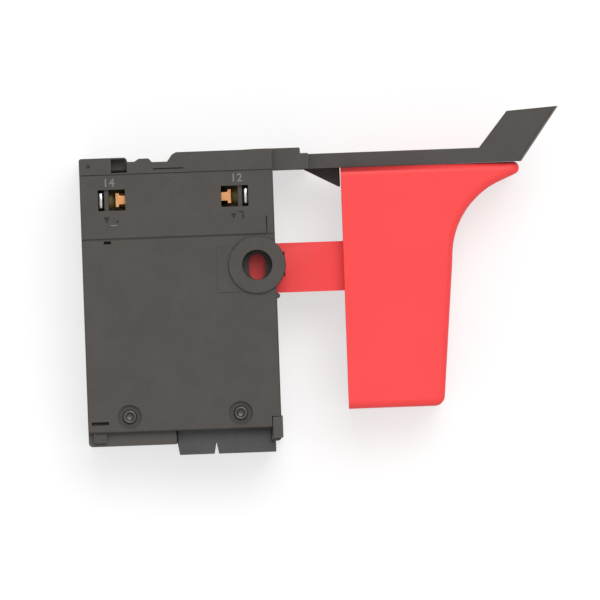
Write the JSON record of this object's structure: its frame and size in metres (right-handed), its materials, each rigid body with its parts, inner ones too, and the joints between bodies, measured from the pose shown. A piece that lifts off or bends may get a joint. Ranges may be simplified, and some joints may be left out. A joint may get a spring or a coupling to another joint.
{
  "type": "power tool trigger switch",
  "caption": "Trigger switch for a hand-held power tool, with a sliding finger trigger, a swinging reversing lever, a lock-on socket and push-in terminals.",
  "frame": {"origin": "where the lock socket's axis meets the flat side that the switch lies on", "axes": "+X towards the finger side of the trigger, +Y from the wire inlets up to the lever, +Z through the thickness, out of the lock socket"},
  "size_m": [0.1008, 0.0704, 0.0228],
  "materials": {
    "body_plastic": "matte",
    "lever_plastic": "matte",
    "inlet_plastic": "matte",
    "trigger_plastic": "satin",
    "black_plastic": "matte",
    "copper": "bright copper",
    "spring_steel": "bright",
    "rivet_steel": "blackened",
    "board": "satin",
    "heat_sink_metal": "plain",
    "film_blue": "gloss",
    "resistor_body": "satin"
  },
  "bodies": {
    "body": {"capacitor": "film_blue", "circuit_board": "board", "cover_rivets": "rivet_steel", "detent_spring": "spring_steel", "fixed_contact_line": "copper", "fixed_contact_motor": "copper", "heat_sink": "heat_sink_metal", "line_clamp_back": "copper", "line_clamp_front": "copper", "line_spring_back": "spring_steel", "line_spring_front": "spring_steel", "lower_clamp_spring_back": "spring_steel", "lower_clamp_spring_front": "spring_steel", "lower_link_strip": "copper", "lower_terminal_back": "copper", "lower_terminal_front": "copper", "main_cover": "body_plastic", "main_housing": "body_plastic", "resistors": "resistor_body", "return_spring": "spring_steel", "reverse_housing": "body_plastic", "top_cover": "body_plastic", "triac": "black_plastic", "upper_clamp_spring_back": "spring_steel", "upper_clamp_spring_front": "spring_steel", "upper_link_strip": "copper", "upper_terminal_back": "copper", "upper_terminal_front": "copper", "wire_inlet_block": "inlet_plastic"},
    "trigger": {"trigger": "trigger_plastic", "contact_carrier": "black_plastic", "contact_bridge": "copper", "wiper": "spring_steel"},
    "lever": {"lever": "lever_plastic", "reverse_rotor": "black_plastic", "upper_reversing_blade": "copper", "lower_reversing_blade": "copper"}
  },
  "joints": [
    {"name": "trigger_press", "type": "slide", "parent": "body", "child": "trigger", "axis": [-1, 0, 0], "range_m": [0, 0.01], "stiffness_N_per_m": 700, "springref_m": -0.007, "deforming": ["return_spring"]},
    {"name": "lever_swing", "type": "hinge", "parent": "body", "child": "lever", "pos_m": [-0.01, 0.02, 0.011], "axis": [0, 1, 0], "range_deg": [0, 13]}
  ]
}
